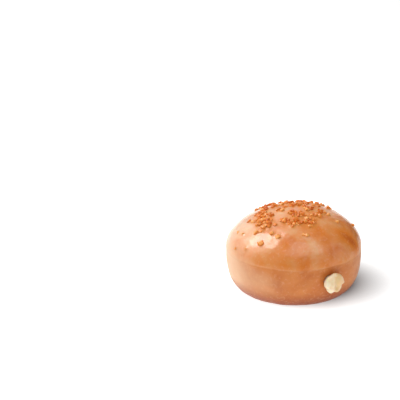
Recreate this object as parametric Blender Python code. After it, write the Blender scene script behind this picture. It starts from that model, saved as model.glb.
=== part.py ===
"""A custard-filled doughnut hole with coarse sugar on its dome.

Metres, +Z up. The origin is the middle of the flat base, and the filling hole faces -Y.
The dough is one solid, with the sugar crystals fused to it and the filling's pocket cut out of it.
The custard is the other solid: a core, the neck through the filling hole, and the bead outside.
"""

import math
import random

import bmesh
import bpy
from mathutils import Matrix, Vector

# The bun
BUN_WIDTH = 0.045
WIDEST_HEIGHT = 0.0148
DOME_RISE = 0.0124
BELLY_DEPTH = 0.0180
DOME_SQUARENESS = 1.83
BELLY_SQUARENESS = 3.2
BUN_CUTS = 17

# The dome leans a little to one side, as it rose in the proving tray
LEAN = 0.0019
LEAN_AZIMUTH = math.radians(58.5)
LEAN_GROWTH = 1.3

# Slight lobes round the bun: how many, how deep as a share of the radius, and where they point
LOBES = (
    (2, 0.008, math.radians(13.5)),
    (3, 0.006, math.radians(28.5)),
    (5, 0.003, math.radians(40.5)),
)

# The filling hole and the dent that the nozzle left round it
HOLE_HEIGHT = 0.0092
DENT_DEPTH = 0.0007
DENT_REACH = 0.0042

# The custard: its core, its neck, and the bead with ridges, lip and nib as shares of its radius
CORE_HEIGHT = 0.0120
CORE_HALF_LENGTH = 0.0098
CORE_HALF_WIDTH = 0.0094
CORE_HALF_HEIGHT = 0.0068
NECK_RADIUS = 0.0019
BEAD_RADIUS = 0.0032
BEAD_STANDS_OUT = 0.0031
BEAD_SETS_IN = 0.0008
RIDGE_DEPTH = 0.035
LIP_DROP = 0.14
NIB_REACH = 0.20
CUSTARD_SEGMENTS = 20
CORE_RINGS = 10
BEAD_RINGS = 7
POCKET_GAP = 0.0003

# Coarse sugar: drifts are (azimuth and tilt of the middle in degrees, spread in degrees, crystals)
DRIFTS = (
    (-110, 49, 4.0, 13),
    (-128, 50, 3.0, 7),
    (-95, 50, 3.0, 6),
    (-82, 52, 2.5, 5),
    (-144, 50, 2.5, 5),
    (-157, 43, 3.0, 4),
    (-142, 29, 4.0, 4),
    (173, 40, 3.0, 6),
    (162, 21, 4.0, 8),
    (131, 29, 3.0, 6),
    (75, 17, 3.5, 8),
    (62, 31, 2.5, 4),
    (-70, 19, 2.5, 6),
    (-28, 19, 2.5, 5),
    (-68, 37, 2.0, 4),
    (-41, 37, 3.5, 9),
    (-46, 45, 1.5, 2),
    (-10, 40, 3.2, 8),
    (15, 27, 1.5, 3),
    (27, 33, 1.5, 3),
    (112, 46, 6.0, 6),
    (140, 48, 5.0, 7),
    (160, 58, 6.5, 7),
    (-172, 60, 5.0, 5),
)

# Crystals that lie apart: azimuth and tilt in degrees, and length
LONE_CRYSTALS = (
    (-71, 72, 0.0020),
    (-87, 65, 0.0016),
    (-82, 62, 0.0014),
    (-67, 60, 0.0014),
    (-57, 62, 0.0017),
    (-25, 58, 0.0011),
    (-21, 59, 0.0014),
    (-119, 63, 0.0014),
    (-112, 60, 0.0013),
    (-110, 74, 0.0010),
    (-101, 72, 0.0009),
    (52, 42, 0.0013),
    (95, 53, 0.0018),
    (40, 55, 0.0011),
    (64, 73, 0.0013),
    (-95, 84, 0.0009),
    (-83, 80, 0.0008),
    (130, 60, 0.0014),
    (167, 67, 0.0013),
    (-166, 65, 0.0015),
)
CRYSTAL_LENGTHS = (0.00095, 0.00155)
CRYSTAL_SLIMNESS = (0.75, 1.0)
CRYSTAL_SINKS = 0.38
CRYSTAL_ROUGHNESS = 0.10
CRYSTAL_SPACING = 0.72
TRIES_EACH = 6
SCATTER_SEED = 41

DOUGH_COLOUR = (0.70, 0.28, 0.09, 1.0)
CUSTARD_COLOUR = (0.84, 0.64, 0.37, 1.0)


def clear_scene():
    for obj in list(bpy.data.objects):
        bpy.data.objects.remove(obj)


def direction(azimuth, tilt):
    """Unit vector at an azimuth, from the filling hole's side round towards +X, and a tilt from +Z."""
    return Vector(
        (
            math.sin(azimuth) * math.sin(tilt),
            -math.cos(azimuth) * math.sin(tilt),
            math.cos(tilt),
        )
    )


def lobed_radius(azimuth):
    lobes = sum(depth * math.cos(count * (azimuth - turn)) for count, depth, turn in LOBES)
    return BUN_WIDTH / 2 * (1 + lobes)


def filling_axis():
    """Where the filling hole meets the wall, and the unit vector from the core out through it."""
    hole = Vector((0, -BUN_WIDTH / 2, HOLE_HEIGHT))
    return hole, (hole - Vector((0, 0, CORE_HEIGHT))).normalized()


def skin(ray):
    """The bun's surface in the direction of a ray from the middle of its widest ring."""
    ray = ray.normalized()
    azimuth = math.atan2(ray.x, -ray.y)
    power, rise = DOME_SQUARENESS, DOME_RISE
    if ray.z < 0:
        power, rise = BELLY_SQUARENESS, BELLY_DEPTH
    across = math.hypot(ray.x, ray.y) / lobed_radius(azimuth)
    along = abs(ray.z) / rise
    point = ray * (across**power + along**power) ** (-1 / power)
    share = max(0.0, point.z / DOME_RISE)
    point += direction(LEAN_AZIMUTH, math.pi / 2) * LEAN * share**LEAN_GROWTH
    point.z += WIDEST_HEIGHT
    hole, outwards = filling_axis()
    nearness = (point - hole).length / DENT_REACH
    return point - outwards * DENT_DEPTH * math.exp(-nearness * nearness)


def skin_normal(azimuth, tilt):
    step = math.radians(0.5)
    across = skin(direction(azimuth + step, tilt)) - skin(direction(azimuth - step, tilt))
    down = skin(direction(azimuth, tilt + step)) - skin(direction(azimuth, tilt - step))
    return down.cross(across).normalized()


def add_object(name, mesh_data, material=None):
    mesh = bpy.data.meshes.new(name)
    mesh_data.to_mesh(mesh)
    mesh_data.free()
    if material:
        mesh.materials.append(material)
    obj = bpy.data.objects.new(name, mesh)
    bpy.context.scene.collection.objects.link(obj)
    return obj


def food_material(name, colour, roughness):
    material = bpy.data.materials.new(name)
    material.use_nodes = True
    shader = material.node_tree.nodes["Principled BSDF"]
    shader.inputs["Base Color"].default_value = colour
    shader.inputs["Roughness"].default_value = roughness
    shader.inputs["Metallic"].default_value = 0.0
    return material


def make_bun():
    """A cube divided at even angles, drawn out to the bun's skin and cut flat at the table."""
    bun = bmesh.new()
    bmesh.ops.create_cube(bun, size=2)
    bmesh.ops.subdivide_edges(bun, edges=bun.edges[:], cuts=BUN_CUTS, use_grid_fill=True)
    for vertex in bun.verts:
        vertex.co = skin(Vector([math.tan(side * math.pi / 4) for side in vertex.co]))
    bmesh.ops.triangulate(bun, faces=bun.faces[:])
    cut = bmesh.ops.bisect_plane(
        bun,
        geom=bun.verts[:] + bun.edges[:] + bun.faces[:],
        dist=1e-6,
        plane_co=(0, 0, 0),
        plane_no=(0, 0, -1),
        clear_outer=True,
    )
    rim = [part for part in cut["geom_cut"] if isinstance(part, bmesh.types.BMEdge)]
    bmesh.ops.contextual_create(bun, geom=rim)
    bmesh.ops.recalc_face_normals(bun, faces=bun.faces)
    return bun


def custard_profile(grown):
    """Points (distance along the filling's axis, radius), from the back of the core to the bead's tip."""
    core_length = CORE_HALF_LENGTH + grown
    core_radius = CORE_HALF_WIDTH + grown
    neck = NECK_RADIUS + grown
    meets_neck = math.asin(neck / core_radius)
    turns = [math.pi - (math.pi - meets_neck) * ring / CORE_RINGS for ring in range(CORE_RINGS + 1)]
    profile = [(core_length * math.cos(turn), core_radius * math.sin(turn)) for turn in turns]

    hole, outwards = filling_axis()
    wall = (hole - Vector((0, 0, CORE_HEIGHT))).length
    bead_length = (BEAD_SETS_IN + BEAD_STANDS_OUT) / 2 + grown
    bead_radius = BEAD_RADIUS + grown
    bead_middle = wall + (BEAD_STANDS_OUT - BEAD_SETS_IN) / 2
    leaves_neck = math.pi - math.asin(neck / bead_radius)
    turns = [leaves_neck * (1 - ring / BEAD_RINGS) for ring in range(BEAD_RINGS + 1)]
    profile += [
        (bead_middle + bead_length * math.cos(turn), bead_radius * math.sin(turn)) for turn in turns
    ]
    return profile


def squeezed(point, grown):
    """Flattens the core, and gives the bead outside the hole its ridges, its nib and its low lip."""
    along, sideways, upwards = point.z, point.x, point.y
    if along < CORE_HALF_LENGTH:
        flat = (CORE_HALF_HEIGHT + grown) / (CORE_HALF_WIDTH + grown)
        fades = max(0.0, along / CORE_HALF_LENGTH) ** 4
        return Vector((sideways, upwards * (flat + (1 - flat) * fades), along))
    turn = math.atan2(upwards, sideways)
    reach = math.hypot(sideways, upwards) / BEAD_RADIUS
    if reach < 0.75 and along < BUN_WIDTH / 2:
        return point
    ridges = 1 + RIDGE_DEPTH * math.cos(4 * turn + 0.9) + LIP_DROP * max(0.0, -math.sin(turn)) ** 3
    nib = NIB_REACH * max(0.0, math.cos(turn - 0.25)) ** 16
    return Vector((sideways * (ridges + nib), upwards * ridges, along))


def make_custard(grown=0.0):
    """The filling as one turned shape about its axis, then squeezed. Grown, it is the pocket's cutter."""
    custard = bmesh.new()
    points = [custard.verts.new((radius, 0, along)) for along, radius in custard_profile(grown)]
    lines = [custard.edges.new(pair) for pair in zip(points, points[1:])]
    bmesh.ops.spin(
        custard,
        geom=points + lines,
        cent=(0, 0, 0),
        axis=(0, 0, 1),
        angle=math.tau,
        steps=CUSTARD_SEGMENTS,
        use_merge=True,
    )
    bmesh.ops.remove_doubles(custard, verts=custard.verts, dist=1e-6)
    for vertex in custard.verts:
        vertex.co = squeezed(vertex.co, grown)

    _, outwards = filling_axis()
    sideways = Vector((1, 0, 0))
    upwards = outwards.cross(sideways)
    stand = Matrix((sideways, upwards, outwards)).transposed().to_4x4()
    stand.translation = (0, 0, CORE_HEIGHT)
    bmesh.ops.transform(custard, matrix=stand, verts=custard.verts)
    bmesh.ops.recalc_face_normals(custard, faces=custard.faces)
    return custard


def lay_crystal(laid, ray, length, draw):
    """Adds a crystal's place, normal, sizes and spin to those laid, unless it would sit on another."""
    azimuth, tilt = math.atan2(ray.x, -ray.y), ray.angle(Vector((0, 0, 1)))
    spot = skin(ray)
    sizes = (
        length,
        length * draw.uniform(*CRYSTAL_SLIMNESS),
        length * draw.uniform(*CRYSTAL_SLIMNESS),
    )
    spin = draw.uniform(0, math.tau)
    for other, _, other_sizes, _ in laid:
        if (spot - other).length < CRYSTAL_SPACING * (length + other_sizes[0]) / 2:
            return False
    laid.append((spot, skin_normal(azimuth, tilt), sizes, spin))
    return True


def scatter():
    """The lone crystals at their places, then each drift as a seeded cloud round its middle."""
    draw = random.Random(SCATTER_SEED)
    laid = []
    for azimuth, tilt, length in LONE_CRYSTALS:
        lay_crystal(laid, direction(math.radians(azimuth), math.radians(tilt)), length, draw)
    for azimuth, tilt, spread, count in DRIFTS:
        middle = direction(math.radians(azimuth), math.radians(tilt))
        wanted = len(laid) + count
        for _ in range(count * TRIES_EACH):
            strayed = Vector([draw.gauss(0, math.radians(spread)) for _ in range(3)])
            length = draw.uniform(*CRYSTAL_LENGTHS)
            if len(laid) < wanted:
                lay_crystal(laid, middle + strayed, length, draw)
    return laid


def make_crystal(spot, normal, sizes, spin, draw):
    """One blunt crystal of twenty faces, sunk a little into the skin."""
    crystal = bmesh.new()
    bmesh.ops.create_icosphere(crystal, subdivisions=1, radius=0.5)
    for vertex in crystal.verts:
        vertex.co *= 1 + draw.uniform(-CRYSTAL_ROUGHNESS, CRYSTAL_ROUGHNESS)
    centre = spot + normal * sizes[2] * (0.5 - CRYSTAL_SINKS)
    stand = (
        Matrix.Translation(centre)
        @ normal.to_track_quat("Z", "Y").to_matrix().to_4x4()
        @ Matrix.Rotation(spin, 4, "Z")
        @ Matrix.Diagonal((*sizes, 1))
    )
    bmesh.ops.transform(crystal, matrix=stand, verts=crystal.verts)
    return crystal


def apply_boolean(obj, operation, **operand):
    boolean = obj.modifiers.new(operation.title(), "BOOLEAN")
    boolean.operation = operation
    boolean.solver = "EXACT"
    for name, value in operand.items():
        setattr(boolean, name, value)
    with bpy.context.temp_override(object=obj, active_object=obj):
        bpy.ops.object.modifier_apply(modifier=boolean.name)


def make_dough():
    dough = add_object("dough", make_bun(), food_material("fried_dough", DOUGH_COLOUR, 0.35))

    cutter = add_object("pocket_cutter", make_custard(grown=POCKET_GAP))
    apply_boolean(dough, "DIFFERENCE", object=cutter)
    bpy.data.objects.remove(cutter)

    sugar = bpy.data.collections.new("sugar")
    bpy.context.scene.collection.children.link(sugar)
    draw = random.Random(SCATTER_SEED + 1)
    for number, (spot, normal, sizes, spin) in enumerate(scatter()):
        crystal = add_object(f"crystal_{number}", make_crystal(spot, normal, sizes, spin, draw))
        bpy.context.scene.collection.objects.unlink(crystal)
        sugar.objects.link(crystal)
    apply_boolean(dough, "UNION", operand_type="COLLECTION", collection=sugar)
    for crystal in list(sugar.objects):
        bpy.data.objects.remove(crystal)
    bpy.data.collections.remove(sugar)
    dough.data.shade_smooth()
    dough.data.set_sharp_from_angle(angle=math.radians(35))


def make_filling():
    custard = add_object("custard", make_custard(), food_material("custard", CUSTARD_COLOUR, 0.25))
    custard.data.shade_smooth()


clear_scene()
make_dough()
make_filling()
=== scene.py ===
# %% [markdown]
# # A glazed, custard-filled doughnut hole
#
# The solids are already built and packed. This lesson dresses them: a bun of fried dough under a
# thin glaze, coarse brown sugar that stuck to the glaze while it was wet, and custard that was
# piped in through the side until a bead of it stood out of the hole.
#
# The frame comes first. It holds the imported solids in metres, +Z up, and everything below is
# made in the same frame, so nothing has to be fitted afterwards.

# %% Load the frame
import math
import random

import bmesh
import bpy
from mathutils import Matrix, Vector, kdtree, noise


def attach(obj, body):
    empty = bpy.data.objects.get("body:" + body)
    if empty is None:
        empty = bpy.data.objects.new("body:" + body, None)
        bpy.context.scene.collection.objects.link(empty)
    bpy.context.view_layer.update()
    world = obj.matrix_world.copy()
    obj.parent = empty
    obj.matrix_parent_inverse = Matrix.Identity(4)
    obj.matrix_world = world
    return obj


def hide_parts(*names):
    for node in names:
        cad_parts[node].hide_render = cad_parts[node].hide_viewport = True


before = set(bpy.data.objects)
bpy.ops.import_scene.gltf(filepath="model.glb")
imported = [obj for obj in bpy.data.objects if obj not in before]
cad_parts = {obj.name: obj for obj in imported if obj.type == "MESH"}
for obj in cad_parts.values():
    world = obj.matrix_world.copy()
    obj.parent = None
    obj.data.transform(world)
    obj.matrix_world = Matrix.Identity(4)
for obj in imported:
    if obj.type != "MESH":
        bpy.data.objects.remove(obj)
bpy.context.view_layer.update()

MM = 0.001

# %% [markdown]
# ## The form of the bun
#
# A ball of yeast dough spreads as it proves: the dome stays round, and the belly below its widest
# ring goes down almost straight before it turns in to the flat base. One ball can't give that.
# Two halves of a superellipse can: an exponent near 2 gives the round dome, and one above 3 gives
# the squarer belly. The dome also leans a little to one side, and the ring has a few shallow
# lobes, because nobody rolls dough perfectly round. The nozzle left a dent round its hole.

# %% The skin as a function of direction
BUN_WIDTH = 45 * MM
WIDEST_HEIGHT = 14.8 * MM
DOME_RISE = 12.4 * MM
BELLY_DEPTH = 18.0 * MM
DOME_SQUARENESS = 1.83
BELLY_SQUARENESS = 3.2
LEAN = 1.9 * MM
LEAN_AZIMUTH = math.radians(58.5)
LEAN_GROWTH = 1.3
LOBES = (
    (2, 0.008, math.radians(13.5)),
    (3, 0.006, math.radians(28.5)),
    (5, 0.003, math.radians(40.5)),
)
CORE_HEIGHT = 12.0 * MM
HOLE = Vector((0, -BUN_WIDTH / 2, 9.2 * MM))
OUTWARDS = (HOLE - Vector((0, 0, CORE_HEIGHT))).normalized()
DENT_DEPTH = 0.7 * MM
DENT_REACH = 4.2 * MM
LEVEL = math.pi / 2
SMALL_TURN = math.radians(0.5)


def direction(azimuth, tilt):
    """Unit vector at an azimuth, from the filling hole's side round towards +X, and a tilt from +Z."""
    across = math.sin(tilt)
    return Vector((math.sin(azimuth) * across, -math.cos(azimuth) * across, math.cos(tilt)))


def skin(ray):
    """The bun's surface in the direction of a ray from the middle of its widest ring."""
    ray = ray.normalized()
    azimuth = math.atan2(ray.x, -ray.y)
    power, rise = DOME_SQUARENESS, DOME_RISE
    if ray.z < 0:
        power, rise = BELLY_SQUARENESS, BELLY_DEPTH
    lobes = sum(depth * math.cos(count * (azimuth - turn)) for count, depth, turn in LOBES)
    across = math.hypot(ray.x, ray.y) / (BUN_WIDTH / 2 * (1 + lobes))
    along = abs(ray.z) / rise
    point = ray * (across**power + along**power) ** (-1 / power)
    share = max(0.0, point.z / DOME_RISE)
    point += direction(LEAN_AZIMUTH, LEVEL) * LEAN * share**LEAN_GROWTH
    point.z += WIDEST_HEIGHT
    nearness = (point - HOLE).length / DENT_REACH
    return point - OUTWARDS * DENT_DEPTH * math.exp(-nearness * nearness)


def skin_normal(azimuth, tilt):
    """The way the skin faces, from a small turn to either side and up and down."""
    across = skin(direction(azimuth + SMALL_TURN, tilt)) - skin(direction(azimuth - SMALL_TURN, tilt))
    down = skin(direction(azimuth, tilt + SMALL_TURN)) - skin(direction(azimuth, tilt - SMALL_TURN))
    return down.cross(across).normalized()


print("dome top in mm:", round(skin(Vector((0, 0, 1))).z / MM, 1))

# %% [markdown]
# ## Where the sugar fell
#
# Sugar thrown by hand lands in drifts, with bare glaze between them and a few grains that rolled
# away. So a drift is the azimuth and tilt of its middle, a spread in degrees and a count, and each
# grain in it is a seeded draw round that middle. The grains that lie apart catch the eye one by
# one, so each of those has its own azimuth, tilt and length. The places come before the bun's
# surface, because wet glaze climbs up every grain.

# %% Lay the coarse crystals
DRIFTS = (
    (-110, 49, 4.0, 13),
    (-128, 50, 3.0, 7),
    (-95, 50, 3.0, 6),
    (-82, 52, 2.5, 5),
    (-144, 50, 2.5, 5),
    (-157, 43, 3.0, 4),
    (-142, 29, 4.0, 4),
    (173, 40, 3.0, 6),
    (162, 21, 4.0, 8),
    (131, 29, 3.0, 6),
    (75, 17, 3.5, 8),
    (62, 31, 2.5, 4),
    (-70, 19, 2.5, 6),
    (-28, 19, 2.5, 5),
    (-68, 37, 2.0, 4),
    (-41, 37, 3.5, 9),
    (-46, 45, 1.5, 2),
    (-10, 40, 3.2, 8),
    (15, 27, 1.5, 3),
    (27, 33, 1.5, 3),
    (112, 46, 6.0, 6),
    (140, 48, 5.0, 7),
    (160, 58, 6.5, 7),
    (-172, 60, 5.0, 5),
)
LONE_CRYSTALS = (
    (-71, 72, 2.0 * MM),
    (-87, 65, 1.6 * MM),
    (-82, 62, 1.4 * MM),
    (-67, 60, 1.4 * MM),
    (-57, 62, 1.7 * MM),
    (-25, 58, 1.1 * MM),
    (-21, 59, 1.4 * MM),
    (-119, 63, 1.4 * MM),
    (-112, 60, 1.3 * MM),
    (-110, 74, 1.0 * MM),
    (-101, 72, 0.9 * MM),
    (52, 42, 1.3 * MM),
    (95, 53, 1.8 * MM),
    (40, 55, 1.1 * MM),
    (64, 73, 1.3 * MM),
    (-95, 84, 0.9 * MM),
    (-83, 80, 0.8 * MM),
    (130, 60, 1.4 * MM),
    (167, 67, 1.3 * MM),
    (-166, 65, 1.5 * MM),
)
CRYSTAL_LENGTHS = (0.95 * MM, 1.55 * MM)
CRYSTAL_SLIMNESS = (0.75, 1.0)
CRYSTAL_SPACING = 0.72
TRIES_EACH = 6
DRIFT_SEED = 41


def lay_crystal(laid, ray, length, draw):
    """Adds a crystal's place, normal, sizes and spin to those laid, unless it would sit on another."""
    azimuth, tilt = math.atan2(ray.x, -ray.y), ray.angle(Vector((0, 0, 1)))
    spot = skin(ray)
    slim, low = draw.uniform(*CRYSTAL_SLIMNESS), draw.uniform(*CRYSTAL_SLIMNESS)
    spin = draw.uniform(0, math.tau)
    for other, _, other_sizes, _ in laid:
        if (spot - other).length < CRYSTAL_SPACING * (length + other_sizes[0]) / 2:
            return
    laid.append((spot, skin_normal(azimuth, tilt), (length, length * slim, length * low), spin))


draw = random.Random(DRIFT_SEED)
laid = []
for azimuth, tilt, length in LONE_CRYSTALS:
    lay_crystal(laid, direction(math.radians(azimuth), math.radians(tilt)), length, draw)
for azimuth, tilt, spread, count in DRIFTS:
    middle = direction(math.radians(azimuth), math.radians(tilt))
    wanted = len(laid) + count
    for _ in range(count * TRIES_EACH):
        strayed = Vector([draw.gauss(0, math.radians(spread)) for _ in range(3)])
        length = draw.uniform(*CRYSTAL_LENGTHS)
        if len(laid) < wanted:
            lay_crystal(laid, middle + strayed, length, draw)
print("coarse crystals:", len(laid))

# %% [markdown]
# Between the coarse crystals of the drifts lie smaller, broken ones. Each lies against a coarse
# one: a step sideways along the skin from it, by about half of their two lengths together.

# %% Lay the broken crystals
CHIP_LENGTHS = (0.5 * MM, 1.0 * MM)
CHIP_SLIMNESS = (0.6, 1.0)
CHIP_SHARE = 0.85
CHIP_STEP = (0.35, 0.55)
CHIP_SEED = 7

draw = random.Random(CHIP_SEED)
chips = []
for spot, normal, sizes, _ in laid[len(LONE_CRYSTALS):]:
    if draw.random() > CHIP_SHARE:
        continue
    away = normal.cross(direction(draw.uniform(0, math.tau), LEVEL)).normalized()
    length = draw.uniform(*CHIP_LENGTHS)
    step = (sizes[0] + length) * draw.uniform(*CHIP_STEP)
    chip_sizes = (length, length * draw.uniform(*CHIP_SLIMNESS), length * draw.uniform(*CHIP_SLIMNESS))
    chips.append((spot + away * step, normal, chip_sizes, draw.uniform(0, math.tau)))
print("broken crystals:", len(chips))

# %% [markdown]
# ## The glazed surface
#
# A cube divided at even angles makes a better ball than a ball from rings does: it has no poles
# where the faces crowd together, and the sugar lies just where a pole would be. Every vertex goes
# out to the skin. Then the glaze gets its relief, all of it under half a millimetre: slow waves
# where it ran, small dimples from the blistered crust below it, a soft collar round each crystal,
# and a thin line round the waist where the dip ended.
#
# Three numbers stay on every vertex for the material: how much syrup from the sugar stains it, how
# deeply the crust browned there together with the light and shade painted there, and how strongly
# the pale line along the end of the dip shows there. That line is a painted reflection, and the same
# number also raises a thin ridge. A place is a row of azimuth, tilt and reach in degrees and a
# depth. Most rows are browning. The rows at azimuth 28 to 35 paint a dark reflection, the rows at
# tilt 85 to 88 on the front are partly browning and partly painted shade, and a depth below zero is
# painted light on the left side, towards the lamps.

# %% Draw the surface out and give it its relief
SURFACE_CUTS = 115
WAVES = ((6.0 * MM, 0.10 * MM), (2.8 * MM, 0.085 * MM), (1.1 * MM, 0.022 * MM))
COLLAR_HEIGHT = 0.20 * MM
COLLAR_WIDTH = 0.8 * MM
CRYSTAL_REACH = 0.6 * MM
SYRUP_WIDTH = 0.5 * MM
SYRUP_BESIDE_ONE = 0.5
CROWD_REACH = 2.4 * MM
CROWD_COUNT = 10
DIP_LINE_HEIGHT = 14.5 * MM
DIP_LINE_WANDER = 0.45 * MM
DIP_LINE_WANDER_LENGTH = 9 * MM
DIP_LINE_RELIEF = 0.05 * MM
DIP_LINE_WIDTH = 0.26 * MM
DIP_LINE_STRENGTH = 0.6
DIP_LINE_FADING = 0.8
DIP_LINE_FADING_LENGTH = 5 * MM
# Browning with painted light and shade: rows at azimuth 28 to 35 paint a dark reflection, rows at tilt 85
# to 88 are partly painted shade, and depths below zero paint light on the left side.
BROWNING_PAINTED_LIGHT_AND_SHADE = (
    (-42, 69, 7, 1.0),
    (-64, 85, 9, 0.35),
    (-50, 86, 9, 0.55),
    (-36, 87, 9, 0.5),
    (-22, 88, 7, 0.32),
    (-5, 47, 12, 0.6),
    (6, 61, 9, 0.6),
    (24, 62, 10, 0.35),
    (28, 69, 9, 0.7),
    (32, 76, 8, 0.8),
    (35, 83, 7, 0.8),
    (-101, 77, 7, 0.35),
    (95, 70, 12, 0.6),
    (150, 74, 12, 0.8),
    (-165, 82, 12, 0.7),
    (-118, 66, 22, -0.75),
    (-122, 100, 24, -1.0),
    (-92, 104, 20, -0.85),
    (-60, 104, 14, -0.35),
)
BROWNING_PAINTED_LIGHT_AND_SHADE_PLACES = [
    (direction(math.radians(azimuth), math.radians(tilt)), math.radians(reach), depth)
    for azimuth, tilt, reach, depth in BROWNING_PAINTED_LIGHT_AND_SHADE
]

bun = bmesh.new()
bmesh.ops.create_cube(bun, size=2)
bmesh.ops.subdivide_edges(bun, edges=bun.edges[:], cuts=SURFACE_CUTS, use_grid_fill=True)
for vertex in bun.verts:
    vertex.co = skin(Vector([math.tan(side * math.pi / 4) for side in vertex.co]))
bun.normal_update()

sugar_tree = kdtree.KDTree(len(laid) + len(chips))
for number, (spot, *_) in enumerate(laid + chips):
    sugar_tree.insert(spot, number)
sugar_tree.balance()

near_sugar = bun.verts.layers.float.new("near_sugar")
browning_painted_light_and_shade = bun.verts.layers.float.new("browning_painted_light_and_shade")
# The pale line along the end of the dip is a painted reflection; the same number raises a thin ridge there.
dip_ridge_and_painted_reflection = bun.verts.layers.float.new("dip_ridge_and_painted_reflection")
for vertex in bun.verts:
    spot = vertex.co.copy()
    relief = sum(height * noise.noise(spot / width) for width, height in WAVES)
    _, _, gap = sugar_tree.find(spot)
    collar = math.exp(-((gap / COLLAR_WIDTH) ** 2))
    dip_line = DIP_LINE_HEIGHT + DIP_LINE_WANDER * noise.noise(spot / DIP_LINE_WANDER_LENGTH)
    off_line = (spot.z - dip_line) / DIP_LINE_WIDTH
    fading = DIP_LINE_FADING * noise.noise(spot / DIP_LINE_FADING_LENGTH)
    vertex[dip_ridge_and_painted_reflection] = max(0.0, DIP_LINE_STRENGTH + fading) * math.exp(-off_line * off_line)
    relief += COLLAR_HEIGHT * collar
    relief += DIP_LINE_RELIEF * vertex[dip_ridge_and_painted_reflection]
    vertex.co = spot + vertex.normal * relief
    crowd = len(sugar_tree.find_range(spot, CROWD_REACH)) / CROWD_COUNT
    beside = max(0.0, gap - CRYSTAL_REACH) / SYRUP_WIDTH
    vertex[near_sugar] = min(1.0, SYRUP_BESIDE_ONE * math.exp(-beside) + crowd)
    ray = (spot - Vector((0, 0, WIDEST_HEIGHT))).normalized()
    # Browning together with the painted light and shade of the rows above.
    vertex[browning_painted_light_and_shade] = sum(
        depth * math.exp(-((ray.angle(middle) / reach) ** 2)) for middle, reach, depth in BROWNING_PAINTED_LIGHT_AND_SHADE_PLACES
    )
print("surface vertices:", len(bun.verts))

# %% [markdown]
# The bun rests on a flat spot that its own weight made. A bisecting plane at the table cuts the
# belly there and throws away what lies below, and the cut rim is filled with one face.

# %% Cut the flat base
ON_THE_PLANE = 0.0001 * MM

cut = bmesh.ops.bisect_plane(
    bun,
    geom=bun.verts[:] + bun.edges[:] + bun.faces[:],
    dist=ON_THE_PLANE,
    plane_co=(0, 0, 0),
    plane_no=(0, 0, -1),
    clear_outer=True,
)
rim = [part for part in cut["geom_cut"] if isinstance(part, bmesh.types.BMEdge)]
bmesh.ops.contextual_create(bun, geom=rim)
bmesh.ops.recalc_face_normals(bun, faces=bun.faces)
print("base rim edges:", len(rim))

# %% [markdown]
# ## The custard
#
# The filling is one body: a flattened core in the middle of the bun, a thin neck out through the
# hole, and the bead that stood still when the piping stopped. All three are round about the line
# of the nozzle, so one profile is spun round that line. The core is then squeezed flat. The bead
# gets what its own weight and the lifted nozzle did to it. Its rim is a ring of marks, each a turn
# in degrees and a reach: the nib that the nozzle pulled out sideways at -3, the lip that sags
# at -37 and a smear below at -102.

# %% The custard's form, also as the pocket's cutter
CORE_HALF_LENGTH = 9.8 * MM
CORE_HALF_WIDTH = 9.4 * MM
CORE_HALF_HEIGHT = 6.8 * MM
CORE_ROUNDS_OUT = 4
NECK_RADIUS = 1.9 * MM
NECK_SHARE = 0.75
BEAD_RADIUS = 3.2 * MM
BEAD_STANDS_OUT = 3.1 * MM
BEAD_SETS_IN = 0.8 * MM
BEAD_RIM = (
    (-141, 0.86),
    (-120, 1.0),
    (-102, 1.12),
    (-84, 1.0),
    (-59, 1.2),
    (-37, 1.3),
    (-14, 1.18),
    (-3, 1.44),
    (8, 1.34),
    (40, 1.24),
    (69, 1.15),
    (104, 0.95),
    (178, 0.97),
    (219, 0.86),
)
POCKET_GAP = 0.3 * MM
SAME_POINT = 0.001 * MM


def custard_profile(grown, core_rings, bead_rings):
    """Points (distance along the filling's line, radius), from the core's back to the bead's tip."""
    core_radius, neck = CORE_HALF_WIDTH + grown, NECK_RADIUS + grown
    sweep = math.pi - math.asin(neck / core_radius)
    turns = [math.pi - sweep * ring / core_rings for ring in range(core_rings + 1)]
    core_length = CORE_HALF_LENGTH + grown
    profile = [(core_length * math.cos(turn), core_radius * math.sin(turn)) for turn in turns]

    wall = (HOLE - Vector((0, 0, CORE_HEIGHT))).length
    bead_length = (BEAD_SETS_IN + BEAD_STANDS_OUT) / 2 + grown
    bead_radius = BEAD_RADIUS + grown
    middle = wall + (BEAD_STANDS_OUT - BEAD_SETS_IN) / 2
    sweep = math.pi - math.asin(neck / bead_radius)
    turns = [sweep * (1 - ring / bead_rings) for ring in range(bead_rings + 1)]
    return profile + [
        (middle + bead_length * math.cos(turn), bead_radius * math.sin(turn)) for turn in turns
    ]


def rim_reach(turn):
    """The bead's reach at a turn about its line, as a share of its radius, eased between the marks."""
    first = BEAD_RIM[0][0]
    degrees = (math.degrees(turn) - first) % 360 + first
    for (start, low), (end, high) in zip(BEAD_RIM, BEAD_RIM[1:]):
        if degrees <= end:
            share = (degrees - start) / (end - start)
            return low + (high - low) * share * share * (3 - 2 * share)


def squeezed(point, grown):
    """Flattens the core, leaves the neck round, and gives the bead its uneven rim."""
    along, sideways, upwards = point.z, point.x, point.y
    if along < CORE_HALF_LENGTH:
        flat = (CORE_HALF_HEIGHT + grown) / (CORE_HALF_WIDTH + grown)
        rounded = max(0.0, along / CORE_HALF_LENGTH) ** CORE_ROUNDS_OUT
        return Vector((sideways, upwards * (flat + (1 - flat) * rounded), along))
    if math.hypot(sideways, upwards) / BEAD_RADIUS < NECK_SHARE and along < BUN_WIDTH / 2:
        return point
    share = rim_reach(math.atan2(upwards, sideways))
    return Vector((sideways * share, upwards * share, along))


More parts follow.
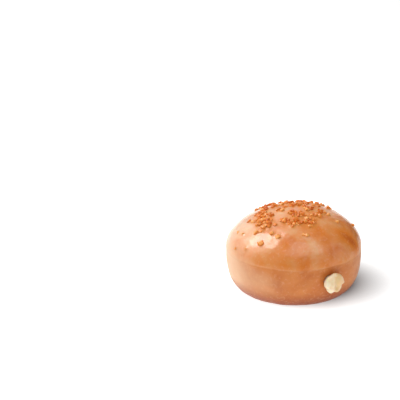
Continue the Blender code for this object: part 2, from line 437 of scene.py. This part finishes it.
def make_custard(grown, segments, core_rings, bead_rings):
    """The custard, larger by an amount all round, along the +Z axis."""
    custard = bmesh.new()
    profile = custard_profile(grown, core_rings, bead_rings)
    points = [custard.verts.new((radius, 0, along)) for along, radius in profile]
    lines = [custard.edges.new(pair) for pair in zip(points, points[1:])]
    bmesh.ops.spin(
        custard,
        geom=points + lines,
        cent=(0, 0, 0),
        axis=(0, 0, 1),
        angle=math.tau,
        steps=segments,
        use_merge=True,
    )
    bmesh.ops.remove_doubles(custard, verts=custard.verts, dist=SAME_POINT)
    for vertex in custard.verts:
        vertex.co = squeezed(vertex.co, grown)
    return custard


SIDEWAYS = Vector((1, 0, 0))
UPWARDS = OUTWARDS.cross(SIDEWAYS)
NOZZLE_STAND = Matrix((SIDEWAYS, UPWARDS, OUTWARDS)).transposed().to_4x4()
NOZZLE_STAND.translation = (0, 0, CORE_HEIGHT)
print("marks on the bead's rim:", len(BEAD_RIM))

# %% [markdown]
# A piece is a mesh with its place in its vertices and its object at the origin. One helper turns
# a bmesh into such a piece. The custard's form, grown by the gap that touching food keeps here,
# is cut out of the dough as its pocket.

# %% A helper that finishes a piece, and the bun with its pocket


def add_piece(name, form, smooth_below=math.pi):
    """A piece from a bmesh, with an edge left sharp where its faces meet at more than that angle."""
    mesh = bpy.data.meshes.new(name)
    form.to_mesh(mesh)
    form.free()
    mesh.shade_smooth()
    if smooth_below < math.pi:
        mesh.set_sharp_from_angle(angle=smooth_below)
    piece = bpy.data.objects.new(name, mesh)
    bpy.context.scene.collection.objects.link(piece)
    return piece


def add_nozzle_piece(name, form):
    """A piece that was made along +Z, laid along the nozzle's line."""
    bmesh.ops.transform(form, matrix=NOZZLE_STAND, verts=form.verts)
    bmesh.ops.recalc_face_normals(form, faces=form.faces)
    return add_piece(name, form)


glazed_dough = add_piece("glazed_dough", bun)
pocket = add_nozzle_piece("pocket", make_custard(POCKET_GAP, segments=32, core_rings=14, bead_rings=8))
boolean = glazed_dough.modifiers.new("Pocket", "BOOLEAN")
boolean.operation = "DIFFERENCE"
boolean.solver = "MANIFOLD"
boolean.object = pocket
with bpy.context.temp_override(object=glazed_dough, active_object=glazed_dough):
    bpy.ops.object.modifier_apply(modifier=boolean.name)
bpy.data.objects.remove(pocket)
print("dough faces:", len(glazed_dough.data.polygons))

# %% [markdown]
# The face of the bead isn't smooth either. It has a lip, a hollow above it, a ridge and a valley,
# and soft unevenness over all of them. Each is a row in millimetres: how far it stands out, its
# place sideways and upwards, and its reach both ways.

# %% Make the custard
FACE_MARKS = (
    (0.5, 1.7, -2.9, 1.2, 0.6),
    (-0.8, 1.0, -1.2, 0.9, 1.2),
    (0.3, -1.1, 0.0, 0.8, 2.4),
    (-0.25, 0.5, 1.5, 0.6, 2.0),
)
FACE_UNEVENNESS = 0.14
FACE_PATCH = 1.7 * MM

custard_form = make_custard(0, segments=96, core_rings=30, bead_rings=40)
for vertex in custard_form.verts:
    spot = vertex.co
    if spot.z < BUN_WIDTH / 2:
        continue
    face_share = min(1.0, (spot.z - BUN_WIDTH / 2) / BEAD_STANDS_OUT)
    sideways, upwards = spot.x / MM, spot.y / MM
    relief = 0.0
    for height, aside, above, width, reach in FACE_MARKS:
        relief += height * math.exp(-(((sideways - aside) / width) ** 2) - ((upwards - above) / reach) ** 2)
    relief += FACE_UNEVENNESS * noise.noise(spot / FACE_PATCH)
    spot.z += relief * MM * face_share
piped_custard = add_nozzle_piece("piped_custard", custard_form)
print("custard faces:", len(piped_custard.data.polygons))

# %% [markdown]
# ## The sugar
#
# Coarse brown sugar is grown as blocky crystals. Tumbled in the bag and wetted by the glaze, their
# corners round off. A cube with a bevel of two steps on every edge is enough for that. Each copy
# gets its corners pushed about by a seeded draw, is stretched to its own three sizes, tips over
# by some degrees and sinks nearly half its height into the glaze. The ones that lie alone sink
# further and carry less molasses, because the wet glaze had time to draw it out. All of them join
# one mesh. Two numbers stay on every vertex for the material: how much molasses the crystal
# carries, and how high up in the crystal the vertex lies.

# %% Make the crystals
CORNER_BEVEL = 0.25
CORNER_SHIFT = 0.11
CRYSTAL_SINKS = 0.46
LONE_SINKS = 0.60
LONE_MOLASSES = 0.35
MOST_TIP = math.radians(35)
SHARP_EDGE = math.radians(60)
CRYSTAL_SEED = 19

block = bmesh.new()
bmesh.ops.create_cube(block, size=1)
bmesh.ops.bevel(
    block,
    geom=block.verts[:] + block.edges[:],
    offset=CORNER_BEVEL,
    offset_type="OFFSET",
    affect="EDGES",
    segments=2,
    profile=0.5,
    material=-1,
)
block_mesh = bpy.data.meshes.new("block")
block.to_mesh(block_mesh)
corners = len(block.verts)
block.free()

sugar = bmesh.new()
molasses = sugar.verts.layers.float.new("molasses")
# How high up in the crystal a vertex lies; the material paints the tops paler with it, as painted light.
rise = sugar.verts.layers.float.new("rise")
draw = random.Random(CRYSTAL_SEED)
for number, (spot, normal, sizes, spin) in enumerate(laid + chips):
    alone = number < len(LONE_CRYSTALS)
    sinks = LONE_SINKS if alone else CRYSTAL_SINKS
    sugar.from_mesh(block_mesh)
    sugar.verts.ensure_lookup_table()
    crystal = sugar.verts[-corners:]
    tipped = Matrix.Rotation(draw.uniform(-MOST_TIP, MOST_TIP), 4, "X")
    tipped @= Matrix.Rotation(draw.uniform(-MOST_TIP, MOST_TIP), 4, "Y")
    stand = (
        Matrix.Translation(spot + normal * sizes[2] * (0.5 - sinks))
        @ normal.to_track_quat("Z", "Y").to_matrix().to_4x4()
        @ Matrix.Rotation(spin, 4, "Z")
        @ tipped
        @ Matrix.Diagonal((*sizes, 1))
    )
    carried = draw.random() * (LONE_MOLASSES if alone else 1)
    for vertex in crystal:
        vertex[molasses] = carried
        vertex[rise] = vertex.co.z + 0.5
        vertex.co += Vector([draw.uniform(-CORNER_SHIFT, CORNER_SHIFT) for _ in range(3)])
    bmesh.ops.transform(sugar, matrix=stand, verts=crystal)
bpy.data.meshes.remove(block_mesh)
bmesh.ops.recalc_face_normals(sugar, faces=sugar.faces)
sugar_crystals = add_piece("sugar_crystals", sugar, smooth_below=SHARP_EDGE)
print("sugar faces:", len(sugar_crystals.data.polygons))

# %% [markdown]
# ## Materials
#
# Colours are written as the eye reads them on a screen, in sRGB hex, and one function turns them
# to the linear values that the shader works in. One helper adds a node with its settings and its
# links, and the same feeding of inputs serves the shader at the end of each material.

# %% Colour and node helpers


def tint(code):
    """Linear RGBA of an sRGB hex colour."""
    shares = [int(code[place : place + 2], 16) / 255 for place in (1, 3, 5)]
    linear = [s / 12.92 if s <= 0.04045 else ((s + 0.055) / 1.055) ** 2.4 for s in shares]
    return (*linear, 1.0)


def paint(piece, name):
    """Gives a piece one new material, and returns the material's node tree and its shader."""
    material = bpy.data.materials.new(name)
    material.use_nodes = True
    piece.data.materials.clear()
    piece.data.materials.append(material)
    return material.node_tree, material.node_tree.nodes["Principled BSDF"]


def feed(tree, node, inputs):
    """Sets inputs of a node, each to a value or to a link from another node's output socket."""
    for socket, value in inputs.items():
        if isinstance(value, bpy.types.NodeSocket):
            tree.links.new(value, node.inputs[socket])
        else:
            node.inputs[socket].default_value = value


def add_node(tree, kind, inputs, stops=(), **settings):
    """Adds a node with its inputs and settings, and with the colour stops of a ramp."""
    added = tree.nodes.new(kind)
    for name, value in settings.items():
        setattr(added, name, value)
    for place, (position, code) in enumerate(stops):
        if place < len(added.color_ramp.elements):
            element = added.color_ramp.elements[place]
            element.position = position
        else:
            element = added.color_ramp.elements.new(position)
        element.color = tint(code)
    feed(tree, added, inputs)
    return added


print("mid grey as light:", round(tint("#808080")[0], 3))

# %% [markdown]
# ** Fried yeast dough under a sugar glaze.** Hot oil browns the skin of the dough unevenly: golden
# for the most part, deeper in a few patches. The left side, towards the lamps, is painted paler,
# which is painted light. The patch on the right that mirrors the dark board is painted deeper, which
# is a painted dark reflection, and the band just above the waist on the front is partly painted
# shade. Painted shade also darkens the belly towards the base. The bun was dipped in boiled sugar
# syrup, dome first. It set clear with milky patches in it, and gives the eye a wet gloss that thins
# out towards the waist, so the belly is nearly matt. A thin pale line where the dip ended is a
# painted reflection. The gloss is also less where a browned patch drank the syrup and where the
# sugar drew it up. Light goes a millimetre or so into the crumb and comes out redder, which is what
# makes bread look soft. So the browning, the painted light and shade and the milky patches are in
# the base colour, the crumb is subsurface scattering, and the glaze is the coat.

# %% Glazed dough
tree, shader = paint(glazed_dough, "fried_yeast_dough_glazed")
place = add_node(tree, "ShaderNodeTexCoord", {}).outputs["Object"]
height = add_node(tree, "ShaderNodeSeparateXYZ", {"Vector": place}).outputs["Z"]
browning = add_node(
    tree,
    "ShaderNodeTexNoise",
    {"Vector": place, "Scale": 1 / (7 * MM), "Detail": 3.0, "Roughness": 0.55, "Distortion": 0.4},
).outputs["Fac"]
skin_colour = add_node(
    tree,
    "ShaderNodeValToRGB",
    {"Fac": browning},
    stops=((0.32, "#D8985C"), (0.50, "#D88036"), (0.66, "#CC6C18")),
).outputs["Color"]
film = add_node(
    tree, "ShaderNodeTexNoise", {"Vector": place, "Scale": 1 / (4.5 * MM), "Detail": 3.0, "Distortion": 0.3}
).outputs["Fac"]
film_share = add_node(
    tree, "ShaderNodeMapRange", {"Value": film, "From Min": 0.48, "From Max": 0.68, "To Max": 0.22}
).outputs["Result"]
with_film = add_node(
    tree,
    "ShaderNodeMix",
    {0: film_share, 6: skin_colour, 7: tint("#E4B490")},
    data_type="RGBA",
).outputs[2]
# Browning with painted light and shade, as set on the vertices.
browning_painted_light_and_shade_share = add_node(tree, "ShaderNodeAttribute", {}, attribute_name="browning_painted_light_and_shade").outputs["Fac"]
# Painted dark reflection: the deepest colour goes where the rows on the right add up past one.
painted_dark_reflection_share = add_node(
    tree, "ShaderNodeMapRange", {"Value": browning_painted_light_and_shade_share, "From Min": 0.95, "From Max": 1.6}
).outputs["Result"]
crust_with_painted_dark_reflection = add_node(
    tree,
    "ShaderNodeMix",
    {0: painted_dark_reflection_share, 6: tint("#D27622"), 7: tint("#B4501A")},
    data_type="RGBA",
).outputs[2]
with_browning_and_painted_shade = add_node(
    tree,
    "ShaderNodeMix",
    {0: browning_painted_light_and_shade_share, 6: with_film, 7: crust_with_painted_dark_reflection},
    data_type="RGBA",
).outputs[2]
belly_share = add_node(
    tree,
    "ShaderNodeMapRange",
    {"Value": height, "From Min": 14.8 * MM, "From Max": 14.1 * MM},
    interpolation_type="SMOOTHSTEP",
).outputs["Result"]
belly_colour = add_node(
    tree,
    "ShaderNodeValToRGB",
    {"Fac": browning},
    stops=((0.35, "#D28242"), (0.50, "#CA7636"), (0.65, "#C0682A")),
).outputs["Color"]
with_belly = add_node(
    tree,
    "ShaderNodeMix",
    {0: belly_share, 6: with_browning_and_painted_shade, 7: belly_colour},
    data_type="RGBA",
).outputs[2]
# Painted reflection: a pale line along the end of the dip.
dip_ridge_and_painted_reflection = add_node(tree, "ShaderNodeAttribute", {}, attribute_name="dip_ridge_and_painted_reflection").outputs["Fac"]
painted_reflection_line = add_node(tree, "ShaderNodeMapRange", {"Value": dip_ridge_and_painted_reflection, "To Max": 0.22}).outputs["Result"]
with_painted_reflection_line = add_node(
    tree,
    "ShaderNodeMix",
    {0: painted_reflection_line, 6: with_belly, 7: tint("#EABC90")},
    data_type="RGBA",
).outputs[2]
# Painted light: the left side, towards the lamps, is made paler.
painted_light_share = add_node(
    tree, "ShaderNodeMapRange", {"Value": browning_painted_light_and_shade_share, "From Max": -1.0}
).outputs["Result"]
with_painted_light = add_node(
    tree,
    "ShaderNodeMix",
    {0: painted_light_share, 6: with_painted_reflection_line, 7: tint("#E0B28C")},
    data_type="RGBA",
).outputs[2]
# Painted shade: the belly is darker towards the base.
painted_base_shade_share = add_node(
    tree,
    "ShaderNodeMapRange",
    {"Value": height, "From Min": 7.0 * MM, "From Max": 0.8 * MM},
    interpolation_type="SMOOTHSTEP",
).outputs["Result"]
with_painted_base_shade = add_node(
    tree,
    "ShaderNodeMix",
    {0: painted_base_shade_share, 6: with_painted_light, 7: tint("#9C4A1C")},
    data_type="RGBA",
).outputs[2]
blister = add_node(
    tree,
    "ShaderNodeTexNoise",
    {"Vector": place, "Scale": 1 / (0.9 * MM), "Detail": 2.0},
).outputs["Fac"]
fleck_share = add_node(
    tree,
    "ShaderNodeMapRange",
    {"Value": blister, "From Min": 0.54, "From Max": 0.80, "To Max": 0.3},
).outputs["Result"]
with_flecks = add_node(
    tree,
    "ShaderNodeMix",
    {0: fleck_share, 6: with_painted_base_shade, 7: tint("#E6B88C")},
    data_type="RGBA",
).outputs[2]
near_sugar = add_node(tree, "ShaderNodeAttribute", {}, attribute_name="near_sugar").outputs["Fac"]
stain = add_node(
    tree, "ShaderNodeMapRange", {"Value": near_sugar, "From Min": 0.15, "From Max": 1.0, "To Max": 0.6}
).outputs["Result"]
with_stain = add_node(
    tree,
    "ShaderNodeMix",
    {0: stain, 6: with_flecks, 7: tint("#D0802C")},
    data_type="RGBA",
).outputs[2]
crust_bump = add_node(
    tree, "ShaderNodeBump", {"Height": blister, "Strength": 0.5, "Distance": 0.06 * MM}
).outputs["Normal"]
soaked_in = add_node(
    tree, "ShaderNodeMapRange", {"Value": browning_painted_light_and_shade_share, "To Min": 1.0, "To Max": 0.15}
).outputs["Result"]
drawn_up = add_node(
    tree, "ShaderNodeMapRange", {"Value": near_sugar, "From Min": 0.2, "To Min": 1.0, "To Max": 0.5}
).outputs["Result"]
ripple = add_node(
    tree, "ShaderNodeTexNoise", {"Vector": place, "Scale": 1 / (6 * MM), "Detail": 1.0}
).outputs["Fac"]
dip_height = add_node(
    tree, "ShaderNodeMath", {0: ripple, 1: 1.6 * MM, 2: height}, operation="MULTIPLY_ADD"
).outputs[0]
dip_share = add_node(
    tree,
    "ShaderNodeMapRange",
    {"Value": dip_height, "From Min": 15.2 * MM, "From Max": 14.5 * MM},
    interpolation_type="SMOOTHSTEP",
).outputs["Result"]
below_dip = add_node(
    tree,
    "ShaderNodeMapRange",
    {"Value": height, "From Min": 13.5 * MM, "From Max": 19.5 * MM, "To Min": 0.28},
    interpolation_type="SMOOTHSTEP",
).outputs["Result"]
left_over = add_node(tree, "ShaderNodeMath", {0: soaked_in, 1: drawn_up}, operation="MULTIPLY").outputs[0]
glaze = add_node(tree, "ShaderNodeMath", {0: left_over, 1: below_dip}, operation="MULTIPLY").outputs[0]
glaze_roughness = add_node(
    tree, "ShaderNodeMapRange", {"Value": dip_share, "To Min": 0.19, "To Max": 0.30}
).outputs["Result"]
feed(
    tree,
    shader,
    {
        "Base Color": with_stain,
        "Normal": crust_bump,
        "Roughness": 0.5,
        "Specular IOR Level": 0.15,
        "Subsurface Weight": 0.35,
        "Subsurface Radius": (1.0, 0.5, 0.25),
        "Subsurface Scale": 1.3 * MM,
        "Coat Weight": glaze,
        "Coat Roughness": glaze_roughness,
        "Coat IOR": 1.55,
    },
)
print("dough nodes:", len(tree.nodes))

# %% [markdown]
# ** Coarse brown sugar.** Sucrose is clear, and the film of molasses in and on each crystal tints
# it amber. Light wanders about inside before it comes out, so a crystal has hardly a dark edge. Its
# top is painted paler than its sides, which is painted light, the more so the less molasses it
# carries. A thin coat of the glaze gives each one its small glint.

# %% Brown sugar
tree, shader = paint(sugar_crystals, "coarse_brown_sugar_glazed")
place = add_node(tree, "ShaderNodeTexCoord", {}).outputs["Object"]
molasses = add_node(tree, "ShaderNodeAttribute", {}, attribute_name="molasses").outputs["Fac"]
amber = add_node(
    tree,
    "ShaderNodeValToRGB",
    {"Fac": molasses},
    stops=((0.0, "#EE9C4E"), (0.35, "#E48432"), (1.0, "#CC6618")),
).outputs["Color"]
rise = add_node(tree, "ShaderNodeAttribute", {}, attribute_name="rise").outputs["Fac"]
clear = add_node(
    tree, "ShaderNodeMapRange", {"Value": molasses, "From Max": 0.35, "To Min": 0.9, "To Max": 0.1}
).outputs["Result"]
# Painted light: the tops of the crystals are made paler.
painted_top_light_share = add_node(
    tree, "ShaderNodeMapRange", {"Value": rise, "From Min": 0.8, "From Max": 1.0}
).outputs["Result"]
painted_light_through = add_node(tree, "ShaderNodeMath", {0: clear, 1: painted_top_light_share}, operation="MULTIPLY").outputs[0]
with_painted_top_light = add_node(
    tree,
    "ShaderNodeMix",
    {0: painted_light_through, 6: amber, 7: tint("#F2AE66")},
    data_type="RGBA",
).outputs[2]
clouding = add_node(
    tree, "ShaderNodeTexNoise", {"Vector": place, "Scale": 1 / (0.4 * MM), "Detail": 2.0}
).outputs["Fac"]
pitting = add_node(
    tree, "ShaderNodeBump", {"Height": clouding, "Strength": 0.4, "Distance": 0.05 * MM}
).outputs["Normal"]
feed(
    tree,
    shader,
    {
        "Base Color": with_painted_top_light,
        "Normal": pitting,
        "Roughness": 0.4,
        "Specular IOR Level": 0.1,
        "Subsurface Weight": 0.5,
        "Subsurface Radius": (1.0, 0.6, 0.35),
        "Subsurface Scale": 0.4 * MM,
        "Coat Weight": 0.3,
        "Coat Roughness": 0.1,
    },
)
print("sugar nodes:", len(tree.nodes))

# %% [markdown]
# ** Boiled custard.** Egg and milk set to a smooth cream that light enters deeply, so its shadows
# are soft and warm. Its colour runs from cream to the yellow of the egg, and it is painted yellower
# towards +X, away from the key softboxes, which is painted shade. Its surface is moist: a dull sheen
# with a thin wet film over it.

# %% Custard
# Painted shade: the custard gets yellower towards +X, away from the key softboxes.
PAINTED_SIDE_SHADE = 0.09 / MM

tree, shader = paint(piped_custard, "boiled_custard")
place = add_node(tree, "ShaderNodeTexCoord", {}).outputs["Object"]
marbling = add_node(
    tree, "ShaderNodeTexNoise", {"Vector": place, "Scale": 1 / (2.2 * MM), "Detail": 3.0}
).outputs["Fac"]
sideways = add_node(tree, "ShaderNodeSeparateXYZ", {"Vector": place}).outputs["X"]
# Marbling plus the painted side shade.
marbled_with_painted_side_shade = add_node(
    tree, "ShaderNodeMath", {0: sideways, 1: PAINTED_SIDE_SHADE, 2: marbling}, operation="MULTIPLY_ADD"
).outputs[0]
cream = add_node(
    tree, "ShaderNodeValToRGB", {"Fac": marbled_with_painted_side_shade}, stops=((0.35, "#EEDEBC"), (0.65, "#E4C28A"))
).outputs["Color"]
unevenness = add_node(
    tree, "ShaderNodeBump", {"Height": marbling, "Strength": 0.4, "Distance": 0.08 * MM}
).outputs["Normal"]
feed(
    tree,
    shader,
    {
        "Base Color": cream,
        "Normal": unevenness,
        "Roughness": 0.42,
        "Subsurface Weight": 0.6,
        "Subsurface Radius": (1.0, 0.6, 0.3),
        "Subsurface Scale": 1.2 * MM,
        "Coat Weight": 0.5,
        "Coat Roughness": 0.2,
    },
)
print("custard nodes:", len(tree.nodes))

# %% [markdown]
# ## The set
#
# The camera has a long lens, as for a small thing on a table, and looks down at it by 22 degrees.
# The bun stands to the lower right of the frame, so the lens is aimed beside it: the middle of the
# bun's widest ring falls on one chosen pixel.

# %% Camera
VIEW_AZIMUTH = math.radians(-31.5)
VIEW_ELEVATION = math.radians(22)
CAMERA_DISTANCE = 1.2
NEAREST_SEEN = 0.01
FRAME_PIXELS = 400
PIXELS_PER_METRE = 3 / MM
RING_IN_FRAME = (293.5, 243.5)
SENSOR = 36

back = direction(VIEW_AZIMUTH, LEVEL - VIEW_ELEVATION)
right = Vector((math.cos(VIEW_AZIMUTH), math.sin(VIEW_AZIMUTH), 0))
up = back.cross(right)
aside = (RING_IN_FRAME[0] - FRAME_PIXELS / 2) / PIXELS_PER_METRE
below = (RING_IN_FRAME[1] - FRAME_PIXELS / 2) / PIXELS_PER_METRE
lens = bpy.data.cameras.new("camera")
lens.sensor_width = SENSOR
lens.lens = SENSOR * CAMERA_DISTANCE / (FRAME_PIXELS / PIXELS_PER_METRE)
lens.clip_start = NEAREST_SEEN
camera = bpy.data.objects.new("camera", lens)
stand = Matrix((right, up, back)).transposed().to_4x4()
ring = Vector((0, 0, WIDEST_HEIGHT))
stand.translation = ring + back * CAMERA_DISTANCE - right * aside + up * below
camera.matrix_world = stand
bpy.context.scene.collection.objects.link(camera)
bpy.context.scene.camera = camera
print("lens in mm:", round(lens.lens, 1))

# %% [markdown]
# The white table glows a little, which is painted light, and that keeps the shadow on it short and
# grey. The glow is less in a round patch under the bun and to the right behind it, which is a
# painted shadow. It fades a little towards the left and more towards the right.

# %% Table
TABLE_HALF_SIZE = 3
TABLE_BELOW_BASE = 0.05 * MM
# The middle of the painted shadow in the table's glow.
PAINTED_SHADOW_MIDDLE = direction(math.radians(86), LEVEL) * 9 * MM

table_form = bmesh.new()
bmesh.ops.create_grid(table_form, x_segments=1, y_segments=1, size=TABLE_HALF_SIZE)
bmesh.ops.translate(table_form, vec=(0, 0, -TABLE_BELOW_BASE), verts=table_form.verts)
table = add_piece("table", table_form)
tree, shader = paint(table, "white_table_painted_glow_and_shadow")
place = add_node(tree, "ShaderNodeTexCoord", {}).outputs["Object"]
# Painted shadow: the glow is less near the bun.
away = add_node(
    tree, "ShaderNodeVectorMath", {0: place, 1: PAINTED_SHADOW_MIDDLE}, operation="DISTANCE"
).outputs["Value"]
painted_shadow_round_the_bun = add_node(
    tree, "ShaderNodeMapRange", {"Value": away, "From Min": 12 * MM, "From Max": 28 * MM}
).outputs["Result"]
rightwards = add_node(
    tree, "ShaderNodeVectorMath", {0: place, 1: right}, operation="DOT_PRODUCT"
).outputs["Value"]
painted_glow_fade_left = add_node(
    tree,
    "ShaderNodeMapRange",
    {"Value": rightwards, "From Min": -5 * MM, "From Max": -45 * MM, "To Min": 1.0, "To Max": 0.92},
).outputs["Result"]
painted_glow_fade_right = add_node(
    tree,
    "ShaderNodeMapRange",
    {"Value": rightwards, "From Min": 18 * MM, "From Max": 46 * MM, "To Min": 1.0, "To Max": 0.58},
).outputs["Result"]
painted_glow_with_shadow = add_node(
    tree, "ShaderNodeMath", {0: painted_shadow_round_the_bun, 1: painted_glow_fade_left}, operation="MULTIPLY"
).outputs[0]
painted_table_glow = add_node(
    tree, "ShaderNodeMath", {0: painted_glow_with_shadow, 1: painted_glow_fade_right}, operation="MULTIPLY"
).outputs[0]
# Painted light: the table glows though it is no lamp.
feed(
    tree,
    shader,
    {
        "Emission Strength": painted_table_glow,
        "Emission Color": tint("#FFFFFF"),
        "Base Color": tint("#A8A8A8"),
        "Roughness": 0.6,
    },
)
print("table nodes:", len(tree.nodes))

# %% [markdown]
# Two softboxes hang on the left behind the bun: the larger one lights it, and the smaller one only
# gives the glaze its broad highlight on the left shoulder. One more softbox hangs overhead. On the
# right a white board lights the side. Behind the bun a low board gives the far edge its sheen, and
# a higher one veils the glaze on top. Each is a row of name, azimuth and elevation in degrees,
# size, power and colour. A dark board between the white one and the low one is what the patch on
# the right of the dome mirrors. That patch is also painted deeper, as a painted dark reflection.

# %% Lamps and boards
LAMP_DISTANCE = 0.5
LAMPS = (
    ("key_softbox", -141, 52, (0.32, 0.33), 0.80, "#FFF6EC"),
    ("sheen_softbox", -140, 54, (0.24, 0.27), 1.05, "#FFFFFF"),
    ("overhead_softbox", -5, 68, (0.50, 0.36), 0.88, "#FFFFFF"),
    ("back_board", 128, 14, (0.40, 0.16), 0.08, "#FFFFFF"),
    ("far_board", 166, 32, (0.30, 0.20), 0.10, "#FFFFFF"),
    ("white_board", 36, 30, (0.56, 0.50), 0.43, "#FFFFFF"),
)
DARK_BOARD_SIZE = (0.13, 0.10, 1)
DARK_BOARD_DISTANCE = 0.13


def aimed(azimuth, elevation, distance):
    """A stand at that bearing from the bun, with its -Z towards the bun."""
    out = direction(math.radians(azimuth), math.radians(90 - elevation))
    turn = out.to_track_quat("Z", "Y").to_matrix().to_4x4()
    return Matrix.Translation(ring + out * distance) @ turn


for name, azimuth, elevation, size, watts, colour in LAMPS:
    lamp = bpy.data.lights.new(name, "AREA")
    lamp.shape = "RECTANGLE"
    lamp.size, lamp.size_y = size
    lamp.energy = watts
    lamp.color = tint(colour)[:3]
    hung = bpy.data.objects.new(name, lamp)
    hung.matrix_world = aimed(azimuth, elevation, LAMP_DISTANCE)
    bpy.context.scene.collection.objects.link(hung)
bpy.data.objects["sheen_softbox"].visible_diffuse = False

card_form = bmesh.new()
bmesh.ops.create_grid(card_form, x_segments=1, y_segments=1, size=0.5)
bmesh.ops.scale(card_form, vec=DARK_BOARD_SIZE, verts=card_form.verts)
bmesh.ops.transform(card_form, matrix=aimed(94, 17, DARK_BOARD_DISTANCE), verts=card_form.verts)
dark_board = add_piece("dark_board", card_form)
dark_board.visible_camera = False
dark_board.visible_shadow = False
tree, shader = paint(dark_board, "black_felt")
feed(tree, shader, {"Base Color": tint("#30241E"), "Roughness": 1.0})
print("lamps:", len(LAMPS))

# %% [markdown]
# The room is dim, except for a window that glows on the left behind the bun.

# %% Room
ROOM_DIMNESS = 0.22
WINDOW_GLOW = 1.4
WINDOW_SOFTNESS = 2.5
WINDOW = direction(math.radians(-150), math.radians(90 - 36))

world = bpy.data.worlds.new("room_with_a_window")
bpy.context.scene.world = world
world.use_nodes = True
tree = world.node_tree
facing = add_node(tree, "ShaderNodeTexCoord", {}).outputs["Generated"]
nearness = add_node(
    tree, "ShaderNodeVectorMath", {0: facing, 1: WINDOW}, operation="DOT_PRODUCT"
).outputs["Value"]
on_its_side = add_node(tree, "ShaderNodeMath", {0: nearness, 1: 0.0}, operation="MAXIMUM").outputs[0]
falloff = add_node(
    tree, "ShaderNodeMath", {0: on_its_side, 1: WINDOW_SOFTNESS}, operation="POWER"
).outputs[0]
glow = add_node(
    tree, "ShaderNodeMath", {0: falloff, 1: WINDOW_GLOW, 2: ROOM_DIMNESS}, operation="MULTIPLY_ADD"
).outputs[0]
feed(tree, tree.nodes["Background"], {"Color": tint("#FFFFFF"), "Strength": glow})
bpy.context.scene.view_settings.view_transform = "Standard"
print("room nodes:", len(tree.nodes))

# %% [markdown]
# ## Hand-over
#
# Every piece rides on the body of the imported part, and the solid it stands for is hidden.

# %% Ride and replace
for piece, node, slot in (
    (glazed_dough, "dough", "dough"),
    (sugar_crystals, "dough", "sugar"),
    (piped_custard, "custard", "custard"),
):
    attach(piece, "root")
    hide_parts(node)
